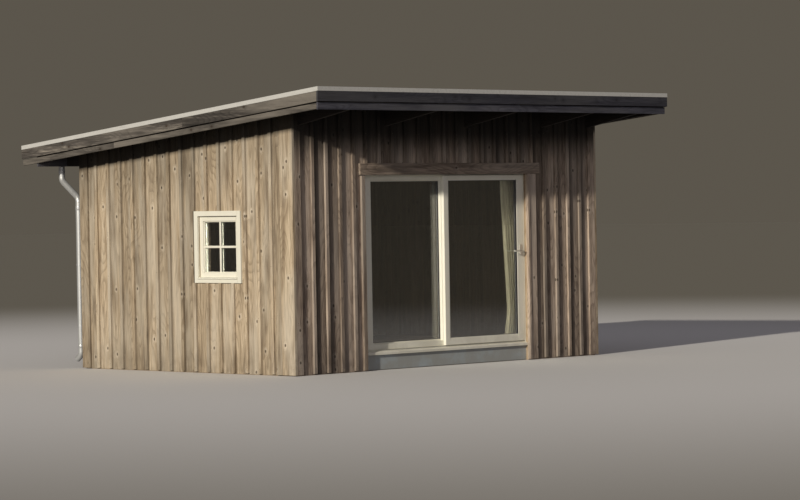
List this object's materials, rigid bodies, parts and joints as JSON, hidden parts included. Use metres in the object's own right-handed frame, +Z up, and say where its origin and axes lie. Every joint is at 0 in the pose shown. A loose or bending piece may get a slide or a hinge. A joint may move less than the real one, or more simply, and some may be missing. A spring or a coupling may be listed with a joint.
{
  "type": "garden office pod",
  "caption": "Timber garden office with a mono-pitch roof, vertical board and batten walls, a wide sliding glass door and a small side window.",
  "frame": {"origin": "on the ground, under the middle of the roof", "axes": "+X along the front towards the fixed end opposite the window, +Y from the front to the rear, +Z up"},
  "size_m": [6.07, 5.22, 3.2603],
  "materials": {
    "cladding_front": "weathered rough-sawn boards, unpainted",
    "cladding_side": "weathered rough-sawn boards, unpainted",
    "inner_wood": "planed softwood",
    "roof_wood": "sawn softwood, weathered",
    "fascia_paint": "dark grey stain",
    "bargeboard_wood": "weathered stain",
    "white_joinery": "white paint, satin",
    "threshold_paint": "blue-grey paint, matt",
    "roofing_felt": "mineral-surfaced roofing felt",
    "grey_metal": "galvanised, dull",
    "handle_metal": "satin",
    "clear_glass": "clear double glazing",
    "curtain_cloth": "woven, matt",
    "rail_paint": "white enamel"
  },
  "bodies": {
    "pod": {"floor_frame": "inner_wood", "floor_boards": "inner_wood", "door_sill_beam": "inner_wood", "front_wall_left": "cladding_front", "front_wall_right": "cladding_front", "front_wall_over_door": "cladding_front", "left_wall_front": "cladding_side", "left_wall_rear": "cladding_side", "left_wall_under_window": "cladding_side", "left_wall_over_window": "cladding_side", "right_wall": "cladding_side", "rear_wall": "cladding_front", "top_beams": "cladding_side", "front_battens": "cladding_front", "left_battens": "cladding_side", "right_battens": "cladding_side", "rear_battens": "cladding_front", "corner_boards": "cladding_side", "rafters": "roof_wood", "verge_rafters": "roof_wood", "eave_blocks": "roof_wood", "roof_deck": "roof_wood", "roof_covering": "roofing_felt", "front_fascia": "fascia_paint", "bargeboards": "bargeboard_wood", "rear_fascia": "fascia_paint", "roof_edge_flashing": "grey_metal", "gutter": "grey_metal", "gutter_brackets": "grey_metal", "downpipe": "grey_metal", "downpipe_clips": "grey_metal", "door_casing": "cladding_front", "threshold_board": "threshold_paint", "door_frame": "white_joinery", "fixed_sash": "white_joinery", "fixed_glass": "clear_glass", "window_casing": "white_joinery", "window_frame": "white_joinery", "window_glass": "clear_glass", "curtain": "curtain_cloth", "curtain_rail": "rail_paint"},
    "door_leaf": {"sliding_sash": "white_joinery", "sliding_glass": "clear_glass", "handle_plate": "handle_metal"},
    "door_lever": {"lever_handle": "handle_metal"}
  },
  "joints": [
    {"name": "door_slide", "type": "slide", "parent": "pod", "child": "door_leaf", "axis": [-1, 0, 0], "range_m": [0, 1.33]},
    {"name": "lever_turn", "type": "hinge", "parent": "door_leaf", "child": "door_lever", "pos_m": [1.2795, -1.69, 1.342], "axis": [0, -1, 0], "range_deg": [0, 40]}
  ]
}
